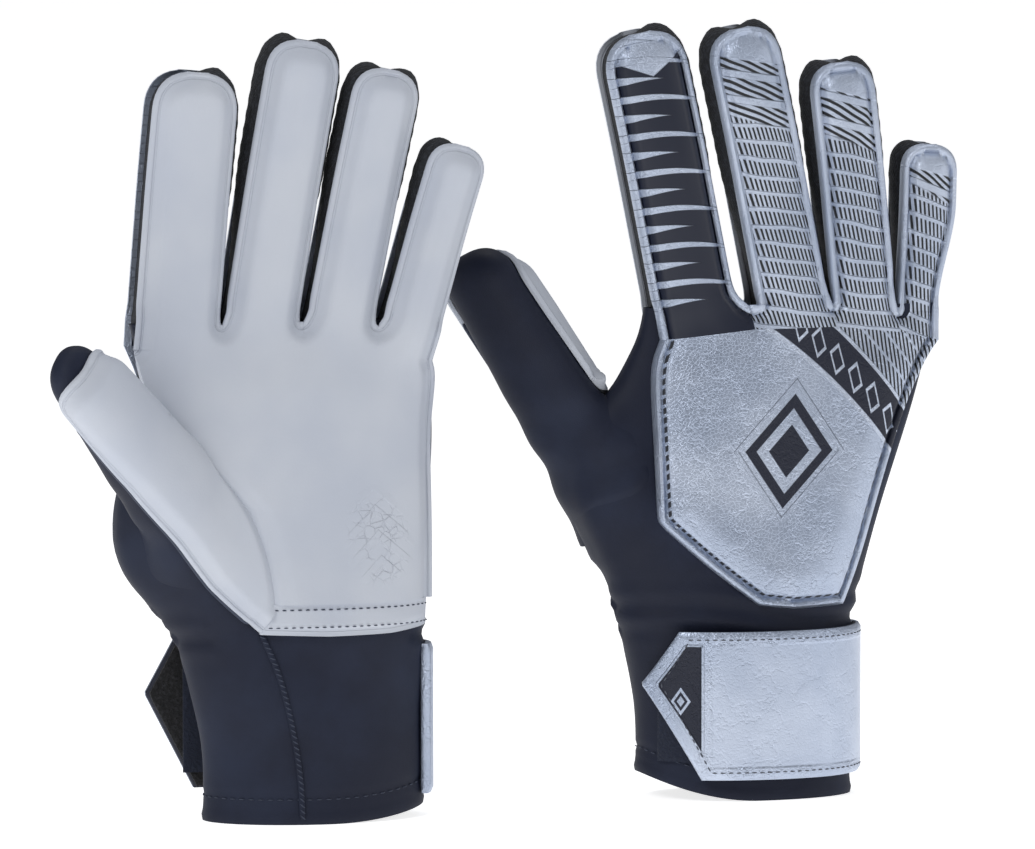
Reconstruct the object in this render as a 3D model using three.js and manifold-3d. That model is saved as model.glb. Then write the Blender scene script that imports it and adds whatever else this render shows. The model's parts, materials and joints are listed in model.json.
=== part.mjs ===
// A pair of goalkeeper gloves, standing on the hems of their cuffs with the fingers up.
// Units are millimetres, +Z is up. The left-hand glove shows its palm to -Y and the
// right-hand glove its back. Each glove is drawn once in its own axes: x runs from the
// thumb side to the little-finger side, y from the palm to the back of the hand, and z
// from the hem to the fingertips. The right-hand glove is mirrored in y.
// Every soft piece is a plain closed solid of the right size and place.
import * as THREE from "three";
import { mergeVertices } from "three/addons/utils/BufferGeometryUtils.js";
import Module from "manifold-3d";

const wasm = await Module();
wasm.setup();

const { sin, cos, PI, sign, abs, max, min, atan2, hypot } = Math;

// ---------------------------------------------------------------- driving dimensions
const GAP = 0.3; // left between pieces that touch
const HINGE_GAP = 0.8; // left where a segment meets the one that it bends against

const cuff = { top: 56, halfWidth: 33.5, halfDepth: 19.5 };
const knuckle = { z: 146.5, halfWidth: 46.3, halfDepth: 6.6 };
const sleeveWall = 2;

const latex = 4.5; // thickness of the palm foam
const backing = 3.5; // thickness of the backhand sheet
const fingerHalfDepth = 10.8; // from the middle of a finger to its palm face
const gussetWall = 1.6;
const gussetInset = 1.4; // how far the gusset stands back from the seam flange

const palmBand = { z: 56.5, height: 9.2 };

const strap = { z: 7, height: 45, thickness: 3, shoulder: 15 };
const pad = { thickness: 1, margin: 5 };

const thumb = { length: 88, root: 30, width: 26, depth: 17, wall: 2, tipRound: 9 };

// Each finger is placed by the middle of its base and of its tip, in the glove's x and z.
const gloves = {
  left: {
    origin: [-59.1, 4.85],
    mirror: false,
    lean: -9.4, // how far the knuckles stand to the side of the wrist
    hemRise: 4, // how far the hem is cut up on its raised side
    hemRaisedSide: 1,
    fingers: {
      index: { base: [-42.6, 151], tip: [-36.7, 224.1], width: 25.6, bend: 38, palmar: 1 },
      middle: { base: [-16.6, 152], tip: [-3.1, 232.9], width: 22.4, bend: 42, palmar: 0 },
      ring: { base: [7.6, 151.5], tip: [22.2, 224], width: 20.4, bend: 38, palmar: 0.5 },
      pinky: { base: [29.1, 149], tip: [43.9, 201.2], width: 17.8, bend: 27, palmar: 2 },
    },
    thumb: { base: [-34, -6, 82], tip: [-91, -46, 149], faces: [0.62, -0.78, 0.1] },
    strapEnd: { straightFrom: 96, tip: -46 },
  },
  right: {
    origin: [81.2, 26.85],
    mirror: true,
    lean: 14.5,
    hemRise: 8,
    hemRaisedSide: -1,
    fingers: {
      index: { base: [-17.6, 152], tip: [-33.7, 232.4], width: 25.6, bend: 40, palmar: 1 },
      middle: { base: [13.2, 152.5], tip: [-2.8, 233.6], width: 22.4, bend: 42, palmar: 0 },
      ring: { base: [36.3, 152], tip: [29.3, 222.9], width: 20.4, bend: 38, palmar: 1.5 },
      pinky: { base: [56.6, 148], tip: [59.3, 197.2], width: 17.8, bend: 27, palmar: 6 },
    },
    thumb: { base: [-35, -4, 91], tip: [-85.5, -4, 173], faces: [0.62, -0.78, 0.1] },
    strapEnd: { straightFrom: 180, tip: -33 },
  },
};

// ---------------------------------------------------------------- materials
const finish = (color, roughness, metalness = 0) =>
  new THREE.MeshStandardMaterial({ color, roughness, metalness });
const whiteLatex = finish(0xd5dae6, 0.85);
const silverSkin = finish(0xa9b4c8, 0.35, 0.6);
const navyFabric = finish(0x232b3f, 0.6);
const blackMesh = finish(0x101116, 0.9);
const hookTape = finish(0x0b0b0d, 1);
const loopTape = finish(0x1a1c22, 1);

// ---------------------------------------------------------------- solids
function solidOf(geometry) {
  const g = geometry.index ? geometry.toNonIndexed() : geometry;
  const bare = new THREE.BufferGeometry().setAttribute("position", g.getAttribute("position"));
  const merged = mergeVertices(bare, 1e-4);
  return new wasm.Manifold(
    new wasm.Mesh({
      numProp: 3,
      vertProperties: merged.attributes.position.array,
      triVerts: new Uint32Array(merged.index.array),
    }),
  );
}

function geometryOf(solid) {
  const { vertProperties, triVerts, numProp, numVert } = solid.getMesh();
  const position = new Float32Array(numVert * 3);
  for (let i = 0; i < numVert; i++)
    position.set(vertProperties.subarray(i * numProp, i * numProp + 3), i * 3);
  return new THREE.BufferGeometry()
    .setAttribute("position", new THREE.BufferAttribute(position, 3))
    .setIndex(new THREE.BufferAttribute(triVerts, 1));
}

const polygon = (points) => new THREE.Shape(points.map(([x, y]) => new THREE.Vector2(x, y)));

// A flat panel drawn in x and z, from y = yLow to y = yLow + thickness.
function panel(outline, yLow, thickness) {
  const options = { depth: thickness, bevelEnabled: false, curveSegments: 5 };
  return new THREE.ExtrudeGeometry(outline, options)
    .rotateX(PI / 2)
    .translate(0, yLow + thickness, 0);
}

// A prism whose plan is drawn in x and y, from z = zLow up.
function prism(plan, zLow, height) {
  const options = { depth: height, bevelEnabled: false };
  return new THREE.ExtrudeGeometry(plan, options).translate(0, 0, zLow);
}

// A solid of unit radius turned about z, its points [radius, height] given from the top.
function turned(points, segments) {
  const profile = points.map(([r, z]) => new THREE.Vector2(r, z)).reverse();
  return new THREE.LatheGeometry(profile, segments).rotateX(PI / 2);
}

// Moves every point of a geometry.
function reshape(geometry, move) {
  const position = geometry.getAttribute("position");
  const p = new THREE.Vector3();
  for (let i = 0; i < position.count; i++) {
    move(p.fromBufferAttribute(position, i));
    position.setXYZ(i, p.x, p.y, p.z);
  }
  return geometry;
}

const mix = (a, b, t) => a + (b - a) * t;
const smooth = (t) => {
  const c = max(0, min(1, t));
  return c * c * (3 - 2 * c);
};
const radians = (a) => (a * PI) / 180;

// ---------------------------------------------------------------- sleeve and cuff
// Half width, half depth and squareness of the sleeve's outside at a height.
function sleeveSection(z) {
  const up = max(0, (z - cuff.top) / (knuckle.z - cuff.top));
  return {
    halfWidth: mix(cuff.halfWidth, knuckle.halfWidth, up),
    halfDepth: mix(cuff.halfDepth, knuckle.halfDepth, up),
    power: 2 + 1.5 * smooth(up * 2),
  };
}

// Sets a point of a unit circle, or inside it, onto a rounded section drawn in by inset.
function toSection(p, { halfWidth, halfDepth, power }, inset) {
  const radius = hypot(p.x, p.y);
  const angle = atan2(p.y, p.x);
  const corner = (v) => sign(v) * abs(v) ** (2 / power);
  p.x = (halfWidth - inset) * corner(cos(angle)) * radius;
  p.y = (halfDepth - inset) * corner(sin(angle)) * radius;
  return angle;
}

const shearAt = (glove, z) => (glove.lean * max(0, z - cuff.top)) / (knuckle.z - cuff.top);

// A solid plug of the sleeve's shape between two heights. The outermost one has the hem.
function sleevePlug(glove, zLow, zHigh, inset) {
  const wall = [...Array(9).keys()].map((i) => [1, mix(zHigh, cuff.top, i / 8)]);
  const plug = turned([[0, zHigh], ...wall, [1, zLow], [0, zLow]], 40);
  return reshape(plug, (p) => {
    const angle = toSection(p, sleeveSection(p.z), inset);
    const raised = max(0, glove.hemRaisedSide * cos(angle)) ** 2;
    const edge = hypot(p.x, p.y) > 1 ? 1 : 0;
    p.x += shearAt(glove, p.z);
    if (zLow === 0) p.z += glove.hemRise * raised * edge * max(0, 1 - p.z / cuff.top);
  });
}

// ---------------------------------------------------------------- outlines
// The hand's panels are drawn before they lean and shear, from these two side edges.
const pinkyEdge = [[37.6, 67], [39.6, 91], [41.2, 115], [44.6, 136]];
const thumbEdge = [[-44.6, 132], [-41, 112], [-38, 92]];

const tilt = atan2(cuff.halfDepth - knuckle.halfDepth, knuckle.z - cuff.top);

// The line that the fingers' bases stand along, from the little finger to the index.
function knuckleLine(glove) {
  const corner = ({ base, tip, width }, side) => {
    const lean = atan2(tip[0] - base[0], tip[1] - base[1]);
    const half = (side * width) / 2;
    const x = base[0] + half * cos(lean) - (HINGE_GAP / 2) * sin(lean);
    const z = base[1] - half * sin(lean) - (HINGE_GAP / 2) * cos(lean);
    return [x - shearAt(glove, z), cuff.top + (z - cuff.top) / cos(tilt)];
  };
  const fingers = Object.values(glove.fingers).reverse();
  return fingers.flatMap((f) => [corner(f, 1), corner(f, -1)]);
}

const palmOutline = (glove) =>
  polygon([[-33.5, 66.2], [34.8, 66.2], ...pinkyEdge, ...knuckleLine(glove), ...thumbEdge]);

const backhandOutline = (glove) =>
  polygon([[1, 64], [27.5, 64], [31.5, 70], [36.5, 92], [40.6, 115], [44.6, 136],
    ...knuckleLine(glove), [-44.2, 132], [-38, 104], [-36, 90]]);

function bandOutline() {
  const top = palmBand.z + palmBand.height;
  return polygon([[-30, palmBand.z], [30, palmBand.z], [34, palmBand.z + 3], [34.6, top],
    [-33, top], [-32.6, palmBand.z + 3]]);
}

// A finger panel between two heights of its own axis, with a round end if it is the tip.
function fingerOutline(halfBase, halfEnd, zLow, zHigh, round) {
  const s = new THREE.Shape();
  s.moveTo(-halfBase, zLow);
  s.lineTo(halfBase, zLow);
  if (round) {
    const r = halfEnd * 0.86;
    s.lineTo(halfEnd, zHigh - r);
    s.quadraticCurveTo(halfEnd, zHigh, halfEnd - r, zHigh);
    s.lineTo(r - halfEnd, zHigh);
    s.quadraticCurveTo(-halfEnd, zHigh, -halfEnd, zHigh - r);
  } else {
    s.lineTo(halfEnd, zHigh);
    s.lineTo(-halfEnd, zHigh);
  }
  s.closePath();
  return s;
}

// The gusset runs up one side of a finger, over its tip and down the other side.
function gussetOutline(half, zLow, zHigh) {
  const s = new THREE.Shape();
  const inner = half - gussetWall;
  const top = zHigh - gussetWall;
  const r = half * 0.86;
  s.moveTo(-half, zLow);
  s.lineTo(-inner, zLow);
  s.lineTo(-inner, top - r);
  s.quadraticCurveTo(-inner, top, r - inner, top);
  s.lineTo(inner - r, top);
  s.quadraticCurveTo(inner, top, inner, top - r);
  s.lineTo(inner, zLow);
  s.lineTo(half, zLow);
  s.lineTo(half, zHigh - r);
  s.quadraticCurveTo(half, zHigh, half - r, zHigh);
  s.lineTo(r - half, zHigh);
  s.quadraticCurveTo(-half, zHigh, -half, zHigh - r);
  s.closePath();
  return s;
}

// ---------------------------------------------------------------- pieces
function add(parent, name, geometry, material) {
  const mesh = new THREE.Mesh(geometry, material);
  mesh.name = name;
  parent.add(mesh);
  return mesh;
}

// A group that a joint turns about its own x axis, or its z axis for the strap.
function pivot(parent, name, x, y, z) {
  const group = new THREE.Group();
  group.name = name;
  group.position.set(x, y, z);
  parent.add(group);
  return group;
}

function makeFinger(hand, side, name, finger) {
  const [bx, bz] = finger.base;
  const [tx, tz] = finger.tip;
  const length = hypot(tx - bx, tz - bz);
  const half = finger.width / 2;
  const depth = fingerHalfDepth * 2;
  const front = -fingerHalfDepth - finger.palmar;

  // Both hinges lie on the palm face, so the finger folds without running into itself.
  const lower = pivot(hand, `${side}_${name}_knuckle`, bx, front, bz);
  lower.rotation.y = atan2(tx - bx, tz - bz);
  const upper = pivot(lower, `${side}_${name}_middle`, 0, 0, finger.bend);
  const start = HINGE_GAP / 2;

  const low = fingerOutline(half - 0.6, half, start, finger.bend - start, false);
  const high = fingerOutline(half, half, start, length - finger.bend, true);
  const backLow = depth - backing;
  add(lower, `${side}_${name}_palm_lower`, panel(low, 0, latex), whiteLatex);
  add(lower, `${side}_${name}_back_lower`, panel(low, backLow, backing), silverSkin);
  add(upper, `${side}_${name}_palm_upper`, panel(high, 0, latex), whiteLatex);
  add(upper, `${side}_${name}_back_upper`, panel(high, backLow, backing), silverSkin);

  const wall = gussetOutline(half - gussetInset, 1, length - gussetInset);
  const gussetDepth = depth - latex - backing - 2 * GAP;
  add(lower, `${side}_${name}_gusset`, panel(wall, latex + GAP, gussetDepth), blackMesh);
}

// A solid plug of the thumb's shape along its own z, with a round end if it has the tip.
function thumbPlug(zLow, zHigh, inset, round) {
  const points = [[0, zHigh]];
  if (round)
    for (let i = 1; i < 5; i++) {
      const a = radians(90 - 18 * i);
      points.push([cos(a), zHigh - thumb.tipRound * (1 - sin(a))]);
    }
  const wallTop = round ? zHigh - thumb.tipRound : zHigh;
  for (let i = 0; i <= 4; i++) points.push([1, mix(wallTop, zLow, i / 4)]);
  points.push([0, zLow]);
  const section = { halfWidth: thumb.width / 2, halfDepth: thumb.depth / 2, power: 2.6 };
  return reshape(turned(points, 24), (p) => {
    const taper = 1 - 0.16 * smooth((p.z - 20) / (thumb.length - 20));
    toSection(p, section, inset);
    p.x *= taper;
    p.y *= taper;
  });
}

// The thumb's axes: x across it, y to its back and z along it, from the middle of its base.
function thumbFrame(glove) {
  const base = new THREE.Vector3(...glove.thumb.base);
  const along = new THREE.Vector3(...glove.thumb.tip).sub(base).normalize();
  const front = new THREE.Vector3(...glove.thumb.faces);
  front.addScaledVector(along, -front.dot(along)).normalize();
  const back = front.clone().negate();
  const across = new THREE.Vector3().crossVectors(back, along);
  return new THREE.Matrix4().makeBasis(across, back, along).setPosition(base);
}

// A closed-ended fabric tube with a latex panel on its palm face.
function makeThumb(hand, side, glove) {
  const frame = thumbFrame(glove);
  const front = thumb.depth / 2 + GAP + latex;
  const hinge = new THREE.Vector3(0, -front, thumb.root).applyMatrix4(frame);
  const group = pivot(hand, `${side}_thumb_base`, hinge.x, hinge.y, hinge.z);
  group.quaternion.setFromRotationMatrix(frame);
  const start = HINGE_GAP / 2;
  const shell = solidOf(thumbPlug(thumb.root + start, thumb.length, 0, true))
    .subtract(solidOf(thumbPlug(thumb.root - 2, thumb.length - thumb.wall, thumb.wall, true)));
  add(group, `${side}_thumb_back`, geometryOf(shell).translate(0, front, -thumb.root),
    navyFabric);
  const half = thumb.width / 2;
  const outline = fingerOutline(half - 1, half - 3, start, thumb.length - thumb.root + 1, true);
  add(group, `${side}_thumb_palm`, panel(outline, 0, latex), whiteLatex);
}

// The sleeve is one hollow body: the tube of the cuff and hand with the thumb's root.
function makeSleeve(hand, side, glove) {
  const frame = thumbFrame(glove);
  const rootOut = solidOf(thumbPlug(-16, thumb.root, 0, false).applyMatrix4(frame));
  const rootIn = solidOf(thumbPlug(-20, thumb.root + 4, thumb.wall, false).applyMatrix4(frame));
  const solid = solidOf(sleevePlug(glove, 0, knuckle.z, 0))
    .add(rootOut)
    .subtract(solidOf(sleevePlug(glove, -1, knuckle.z + 1, sleeveWall)))
    .subtract(rootIn);
  add(hand, `${side}_body_sleeve`, geometryOf(solid), navyFabric);
}

// The palm's latex is a flat panel joined to a curved one that wraps the thumb's root.
function makePalm(hand, side, glove) {
  const frame = thumbFrame(glove);
  const plug = (low, high, inset) =>
    solidOf(thumbPlug(low, high, inset, false).applyMatrix4(frame));
  const frontHalf = solidOf(
    new THREE.BoxGeometry(90, 60, 90).translate(0, -30 - 2, 30).applyMatrix4(frame),
  );
  const wrap = plug(2, thumb.root - HINGE_GAP / 2, -GAP - latex).intersect(frontHalf);
  const solid = solidOf(onHand(glove, panel(palmOutline(glove), -latex, latex), false))
    .subtract(plug(thumb.root - HINGE_GAP / 2, thumb.root + 18, -latex - 1))
    .add(wrap)
    .subtract(plug(-16, thumb.root + 1, -GAP))
    .subtract(solidOf(sleevePlug(glove, 40, knuckle.z + 1, -GAP)));
  const pieces = solid.decompose().sort((a, b) => b.volume() - a.volume());
  add(hand, `${side}_palm_latex`, geometryOf(pieces[0]), whiteLatex);
}

// Panels on the sleeve lean with its taper and shear with the hand.
function onHand(glove, geometry, back) {
  geometry.translate(0, 0, -cuff.top).rotateX(back ? tilt : -tilt);
  geometry.translate(0, (back ? 1 : -1) * (cuff.halfDepth + GAP + 0.1), cuff.top);
  const shear = glove.lean / (knuckle.z - cuff.top);
  const matrix = new THREE.Matrix4().makeShear(0, 0, 0, 0, shear, 0);
  return geometry.applyMatrix4(matrix).translate(-shear * cuff.top, 0, 0);
}

function makeHand(hand, side, glove) {
  makeSleeve(hand, side, glove);
  makePalm(hand, side, glove);
  const band = onHand(glove, panel(bandOutline(), -latex, latex), false);
  add(hand, `${side}_palm_wrist_band`, band, whiteLatex);
  const back = onHand(glove, panel(backhandOutline(glove), 0, backing), true);
  add(hand, `${side}_backhand_panel`, back, silverSkin);
}

// ---------------------------------------------------------------- wrist strap
// How far the strap's inner face stands off the cuff, growing where the tapes lie.
const standOff = (angle) => GAP + (2 * pad.thickness + 2 * GAP) * smooth((angle - 0.2) / 0.9);

// A strip around the cuff between two angles from the little-finger side, which goes on
// straight past straightFrom instead of wrapping.
function strip(from, to, near, far, straightFrom, zLow, height) {
  const line = (out) =>
    [...Array(25).keys()].map((i) => {
      const angle = mix(radians(from), radians(to), i / 24);
      const bend = min(angle, radians(straightFrom));
      const x = (cuff.halfWidth + out(angle)) * cos(bend) - (angle - bend) * cuff.halfWidth;
      return [x, (cuff.halfDepth + out(angle)) * sin(bend)];
    });
  return prism(polygon([...line(far), ...line(near).reverse()]), zLow, height);
}

// What is cut off a strip to leave the strap's pointed end, drawn in by inset.
function pastThePoint(glove, inset) {
  const tip = glove.strapEnd.tip + inset;
  const low = strap.z;
  const high = strap.z + strap.height;
  const waist = mix(low, high, 0.64);
  return solidOf(panel(polygon([[-90, low - 5], [tip + strap.shoulder, low - 5],
    [tip + strap.shoulder, low], [tip, waist], [tip + strap.shoulder * 0.6, high],
    [tip + strap.shoulder * 0.6, high + 5], [-90, high + 5]]), -10, 60));
}

function makeStrap(hand, side, glove) {
  const { z, height, thickness } = strap;
  const straightFrom = glove.strapEnd.straightFrom;
  const level = (out) => () => out;
  const inside = z + pad.margin;
  const padHeight = height - 2 * pad.margin;

  const anchor = strip(-24, -1, standOff, (a) => standOff(a) + thickness, 180, z, height);
  add(hand, `${side}_strap_anchor`, anchor, silverSkin);
  const loop = strip(86, 150, level(GAP), level(GAP + pad.thickness), 180, inside, padHeight);
  add(hand, `${side}_loop_pad`, loop, loopTape);

  const fold = cuff.halfWidth + GAP + thickness;
  const hinge = pivot(hand, `${side}_strap_fold`, fold, 0, 0);
  const whole = strip(1, 172, standOff, (a) => standOff(a) + thickness, straightFrom, z, height);
  const band = geometryOf(solidOf(whole).subtract(pastThePoint(glove, 0)));
  add(hinge, `${side}_strap_band`, band.translate(-fold, 0, 0), silverSkin);
  const near = 2 * GAP + pad.thickness;
  const tape = strip(100, 172, level(near), level(near + pad.thickness), straightFrom,
    z + 2, height - 4);
  const hook = geometryOf(solidOf(tape).subtract(pastThePoint(glove, 2)));
  add(hinge, `${side}_hook_pad`, hook.translate(-fold, 0, 0), hookTape);
}

// ---------------------------------------------------------------- the pair
const pair = new THREE.Group();
for (const [side, glove] of Object.entries(gloves)) {
  const hand = new THREE.Group();
  hand.name = `${side}_glove`;
  hand.position.set(glove.origin[0], glove.origin[1], 0);
  if (glove.mirror) hand.scale.y = -1;
  pair.add(hand);
  makeHand(hand, side, glove);
  for (const [name, finger] of Object.entries(glove.fingers)) makeFinger(hand, side, name, finger);
  makeThumb(hand, side, glove);
  makeStrap(hand, side, glove);
}

export default pair;
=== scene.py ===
"""A pair of goalkeeper gloves standing on their cuffs: one shows its palm, one its back."""

import json
import math

import bmesh
import bpy
import numpy as np
from mathutils import Matrix, Vector


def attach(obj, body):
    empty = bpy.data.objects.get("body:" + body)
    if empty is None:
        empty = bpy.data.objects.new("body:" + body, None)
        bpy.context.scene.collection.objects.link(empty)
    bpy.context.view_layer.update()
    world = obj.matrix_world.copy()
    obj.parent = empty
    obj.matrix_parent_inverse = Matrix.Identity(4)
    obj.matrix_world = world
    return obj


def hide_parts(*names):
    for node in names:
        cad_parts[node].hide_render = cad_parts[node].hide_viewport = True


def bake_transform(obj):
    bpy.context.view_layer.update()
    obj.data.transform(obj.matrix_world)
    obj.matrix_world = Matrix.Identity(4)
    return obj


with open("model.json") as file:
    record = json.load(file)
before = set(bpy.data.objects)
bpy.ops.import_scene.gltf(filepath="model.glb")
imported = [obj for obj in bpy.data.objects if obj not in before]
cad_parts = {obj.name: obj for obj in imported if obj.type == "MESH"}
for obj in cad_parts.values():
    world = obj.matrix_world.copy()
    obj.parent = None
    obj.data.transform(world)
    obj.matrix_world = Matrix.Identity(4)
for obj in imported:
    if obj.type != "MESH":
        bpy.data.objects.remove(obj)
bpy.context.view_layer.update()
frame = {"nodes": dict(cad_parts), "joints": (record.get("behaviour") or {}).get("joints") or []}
MM = 0.001

# ------------------------------------------------------------------ sizes, in millimetres
CUFF_TOP = 56.0
CUFF_HALF_WIDTH = 33.5
CUFF_HALF_DEPTH = 19.5
KNUCKLE_Z = 146.5
KNUCKLE_HALF_WIDTH = 46.3
KNUCKLE_HALF_DEPTH = 6.6
SKIN = 1.6
FOAM = 4.5
BACKING = 3.2
FLANGE = 1.7
FINGER_DEPTH = 21.6
TAB = 2.4  # how far the slot between two fingers runs below their bases
LIFT = 0.4  # how far a panel lies over the skin
ROOT = 10.0  # how far a finger's panels start below its base
FINGERS = ("index", "middle", "ring", "pinky")
FINGER_WIDTH = {"index": 25.6, "middle": 22.4, "ring": 20.4, "pinky": 17.8}
FINGER_LENGTH = {
    "left": {"index": 73.3, "middle": 82.0, "ring": 74.0, "pinky": 54.2},
    "right": {"index": 82.2, "middle": 82.7, "ring": 71.2, "pinky": 49.3},
}
THUMB_LENGTH = 88.0
HEM_STITCHES = 7.5  # how far the hem's stitches run over its edge
STRAP_Z = 7.0
STRAP_HEIGHT = 45.0
STRAP_THICKNESS = 3.0
GLOVES = {
    "left": {
        "side": "left", "flip": 1.0, "lean": -9.4, "hem_rise": 4.0, "raised": 1.0,
        "bulge": ([20, 49, 60, 69, 78, 92, 110, 128, 138], [0, 6, 11, 18, 22, 19, 9, 2, 0]),
        "thumb_shift": (0, 0, 0), "thumb_taper": 0.30,
        "straight_from": 96.0, "strap_tip": -46.0,
    },
    "right": {
        "side": "right", "flip": -1.0, "lean": 14.5, "hem_rise": 8.0, "raised": -1.0,
        "bulge": ([24, 53, 72, 90, 105, 120, 135, 144], [0, 5, 11, 21, 20, 11, 3, 0]),
        "thumb_shift": (-5, 0, 0), "thumb_taper": 0.17,
        "straight_from": 180.0, "strap_tip": -33.0,
    },
}
THUMB_LINE = {
    "left": ((-34, -6, 82), (-91, -46, 149)),
    "right": ((-35, -4, 91), (-85.5, -4, 173)),
}
JOINTS = {joint["name"]: joint for joint in frame["joints"]}


# ------------------------------------------------------------------ places on a glove
def unit(v):
    v = np.asarray(v, float)
    return v / np.linalg.norm(v)


def smooth(t):
    c = np.clip(t, 0, 1)
    return c * c * (3 - 2 * c)


def mix(a, b, t):
    return a + (b - a) * t


def to_local(glove, metres):
    """A point of the shared frame in the glove's own millimetres."""
    p = np.asarray(metres, float) / MM
    return np.array([p[0] - glove["origin"][0], (p[1] - glove["origin"][1]) * glove["flip"], p[2]])


def to_world(glove, points):
    """Points in the glove's own millimetres in the shared frame, in metres."""
    p = np.asarray(points, float).reshape(-1, 3)
    out = np.empty_like(p)
    out[:, 0] = p[:, 0] + glove["origin"][0]
    out[:, 1] = p[:, 1] * glove["flip"] + glove["origin"][1]
    out[:, 2] = p[:, 2]
    return out * MM


def set_up(glove):
    """Reads where the glove stands and its fingers from the joints, and sets up its thumb along a listed
    line.
    """
    side = glove["side"]
    fold = JOINTS[f"{side}_strap_peel"]["pos_m"]
    glove["origin"] = (fold[0] / MM - CUFF_HALF_WIDTH - 3.3, fold[1] / MM)
    glove["fingers"] = []
    for order, name in enumerate(FINGERS):
        low = to_local(glove, JOINTS[f"{side}_{name}_knuckle"]["pos_m"])
        high = to_local(glove, JOINTS[f"{side}_{name}_middle"]["pos_m"])
        along = unit([high[0] - low[0], high[2] - low[2]])
        glove["fingers"].append({
            "name": name, "order": order, "base": low[[0, 2]], "front": low[1], "along": along,
            "across": np.array([along[1], -along[0]]), "bend": float(np.hypot(*(high - low)[[0, 2]])),
            "half": FINGER_WIDTH[name] / 2, "length": FINGER_LENGTH[side][name],
            "slim": 4.2 if (side, name) == ("right", "pinky") else 0.0,
        })
    start, tip = (np.array(p, float) for p in THUMB_LINE[side])
    along = unit(tip - start)
    front = np.array([0.62, -0.78, 0.1])
    front = unit(front - front.dot(along) * along)
    glove["thumb"] = {"base": start, "along": along, "front": front, "across": np.cross(-front, along)}


for glove in GLOVES.values():
    set_up(glove)


def lean_at(glove, z):
    return glove["lean"] * np.maximum(0, z - CUFF_TOP) / (KNUCKLE_Z - CUFF_TOP)


def power_length(x, y, half_x, half_y, power):
    """How far a point lies outside a rounded section, to first order."""
    ax = np.abs(x) / half_x + 1e-6
    ay = np.abs(y) / half_y + 1e-6
    k = (ax**power + ay**power) ** (1 / power)
    slope = np.hypot((ax / k) ** (power - 1) / half_x, (ay / k) ** (power - 1) / half_y)
    return (k - 1) / slope


def soft_least(a, b, reach):
    h = np.clip(0.5 + 0.5 * (b - a) / reach, 0, 1)
    return mix(b, a, h) - reach * h * (1 - h)


def tube_distance(glove, p):
    z = p[:, 2]
    up = np.clip((z - CUFF_TOP) / (KNUCKLE_Z - CUFF_TOP), 0, 1.2)
    half_width = mix(CUFF_HALF_WIDTH, KNUCKLE_HALF_WIDTH, up)
    half_depth = mix(CUFF_HALF_DEPTH, KNUCKLE_HALF_DEPTH, up)
    power = 2 + 1.2 * smooth(up * 2)
    across = p[:, 0] - lean_at(glove, z)
    half_width = half_width + bulge_at(glove, z) * (across < 0)
    return power_length(across, p[:, 1], half_width, half_depth, power)


def bulge_at(glove, z):
    """How far the thumb's root widens the hand on its thumb side."""
    heights, widths = glove["bulge"]
    return sum(np.interp(z + k, heights, widths) for k in (-6, -3, 0, 3, 6)) / 5


def thumb_place(glove, p):
    t = glove["thumb"]
    q = p - t["base"] - np.array(glove["thumb_shift"])
    return q @ t["along"], q @ t["across"], q @ t["front"]


def thumb_taper(glove, s):
    return 1 - glove["thumb_taper"] * smooth((s - 20) / (THUMB_LENGTH - 20)) + 0.25 * smooth((22 - s) / 40)


def thumb_distance(glove, p):
    s, a, f = thumb_place(glove, p)
    cap = np.clip((s - (THUMB_LENGTH - 11)) / 11, 0, 0.999)
    taper = thumb_taper(glove, s)
    shrink = np.maximum((1 - cap**2.4) ** (1 / 2.4), 0.08)
    side = power_length(a, f, 13.2 * taper * shrink, 8.7 * taper * shrink, 2.5)
    return side + np.maximum(0, s - THUMB_LENGTH) + np.maximum(0, -14 - s)


def skin_distance(glove, p):
    """How far points lie outside the fabric skin of the hand, the thumb and the cuff."""
    return soft_least(tube_distance(glove, p), thumb_distance(glove, p), 8.0)


def slope_of(field, glove, p, step=0.05):
    here = field(glove, p)
    slope = np.empty_like(p)
    for axis in range(3):
        moved = p.copy()
        moved[:, axis] += step
        slope[:, axis] = (field(glove, moved) - here) / step
    return here, slope


def settle(glove, points, level, only_y=False, field=skin_distance, steps=9):
    """Moves points onto the surface that lies at level outside the skin."""
    p = np.array(points, float)
    for _ in range(steps):
        here, slope = slope_of(field, glove, p)
        off = here - level
        if only_y:
            steep = np.where(np.abs(slope[:, 1]) < 0.12, 0.12 * np.sign(p[:, 1]), slope[:, 1])
            p[:, 1] -= np.clip(off / steep, -5, 5)
        else:
            p -= slope * (off / np.maximum((slope**2).sum(1), 0.2))[:, None]
    return p


def finish_piece(glove, name, bm, positions, pattern, slot, sharp=0.95):
    """Sets a bmesh's places in the shared frame and links it as a piece."""
    world = to_world(glove, positions)
    coat = bm.verts.layers.float_vector.new("pattern")
    for vertex, place, value in zip(bm.verts, world, pattern):
        vertex.co = place
        vertex[coat] = value
    bmesh.ops.remove_doubles(bm, verts=bm.verts, dist=1e-6)
    bmesh.ops.dissolve_degenerate(bm, edges=bm.edges, dist=1e-7)
    bmesh.ops.recalc_face_normals(bm, faces=bm.faces)
    for face in bm.faces:
        face.smooth = True
    for edge in bm.edges:
        edge.smooth = edge.calc_face_angle(0) < sharp
    return link(f"{glove['side']}_{name}", bm, slot)


def link(name, bm, slot):
    name = name + "_sewn" if name in frame["nodes"] else name
    mesh = bpy.data.meshes.new(name)
    bm.to_mesh(mesh)
    bm.free()
    piece = bpy.data.objects.new(name, mesh)
    bpy.context.scene.collection.objects.link(piece)
    piece.data.materials.append(MATERIALS[slot])
    return piece


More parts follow.
